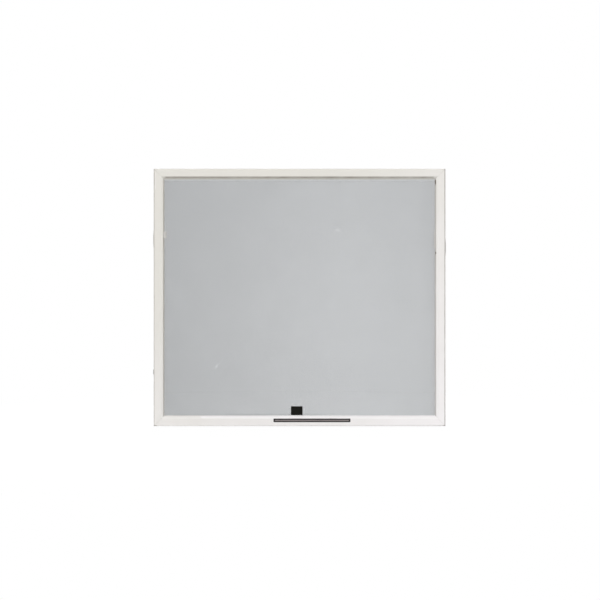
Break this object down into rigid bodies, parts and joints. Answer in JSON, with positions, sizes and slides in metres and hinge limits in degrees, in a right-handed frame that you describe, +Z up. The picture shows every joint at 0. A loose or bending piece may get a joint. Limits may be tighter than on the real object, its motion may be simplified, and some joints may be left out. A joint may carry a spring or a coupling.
{
  "type": "window insect screen frame",
  "caption": "Rectangular insect screen for a casement window: a mitred painted aluminium frame round a stretched mesh cloth held by splines.",
  "frame": {"origin": "bottom centre of the frame: the middle of its bottom edge, half way through its depth", "axes": "+X to the right seen from the room, +Y from the room side to the outside, +Z up"},
  "size_m": [0.6214, 0.011, 0.546],
  "materials": {
    "painted_bar": "baked off-white enamel on roll-formed aluminium, satin",
    "key_nylon": "moulded natural nylon",
    "mesh_cloth": "vinyl-coated glass fibre insect mesh, charcoal",
    "spline_vinyl": "extruded soft vinyl, matt grey-black",
    "pad_rubber": "black rubber sheet, matt",
    "spring_steel": "stainless spring strip, rolled",
    "tab_vinyl": "moulded grey vinyl"
  },
  "bodies": {
    "root": {"top_rail": "painted_bar", "bottom_rail": "painted_bar", "left_stile": "painted_bar", "right_stile": "painted_bar", "corner_key_bottom_left": "key_nylon", "corner_key_bottom_right": "key_nylon", "corner_key_top_left": "key_nylon", "corner_key_top_right": "key_nylon", "screen_cloth": "mesh_cloth", "spline_top": "spline_vinyl", "spline_bottom": "spline_vinyl", "spline_left": "spline_vinyl", "spline_right": "spline_vinyl", "wear_pad": "pad_rubber", "edge_bumper": "pad_rubber", "edge_spring_left": "spring_steel", "edge_spring_right": "spring_steel", "pull_tab_left": "tab_vinyl", "pull_tab_right": "tab_vinyl"}
  },
  "joints": []
}
